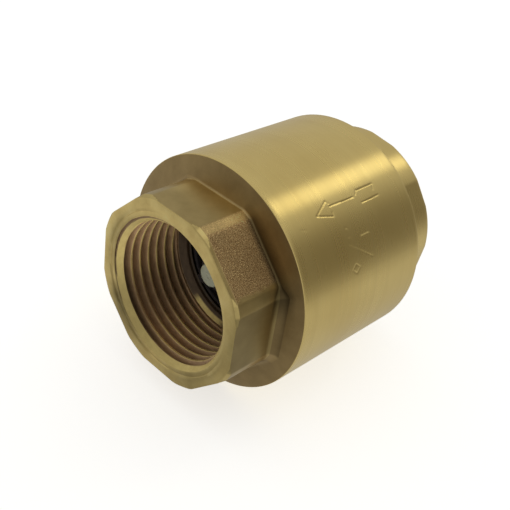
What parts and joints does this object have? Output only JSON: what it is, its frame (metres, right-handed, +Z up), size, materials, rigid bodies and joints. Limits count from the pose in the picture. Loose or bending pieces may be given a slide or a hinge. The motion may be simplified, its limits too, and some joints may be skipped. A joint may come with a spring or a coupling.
{
  "type": "check valve",
  "caption": "Inline spring check valve: brass drum body with octagonal threaded sockets at both ends and a sprung poppet inside.",
  "frame": {"origin": "centre of the valve's box, on the bore axis, midway between the outlet and inlet faces", "axes": "+X along the bore from the outlet face to the inlet face, so water flows towards -X; +Z up, square to one of the outlet's wrench flats"},
  "size_m": [0.0488, 0.041, 0.041],
  "materials": {
    "brass": "satin turned brass, grainy where left as forged",
    "black_nylon": "matte moulded",
    "white_acetal": "smooth, slightly translucent white",
    "nitrile_rubber": "matte",
    "stainless_steel": "drawn wire"
  },
  "bodies": {
    "housing": {"valve_body": "brass", "inlet_cap": "brass", "body_gasket": "nitrile_rubber", "stem_guide": "black_nylon", "return_spring": "stainless_steel"},
    "poppet": {"poppet_disc": "black_nylon", "poppet_stem": "white_acetal", "seat_seal": "nitrile_rubber", "seal_retainer": "black_nylon"}
  },
  "joints": [
    {"name": "poppet_slide", "type": "slide", "parent": "housing", "child": "poppet", "axis": [-1, 0, 0], "range_m": [0, 0.005], "stiffness_N_per_m": 240, "springref_m": -0.003, "deforming": ["return_spring"]}
  ]
}
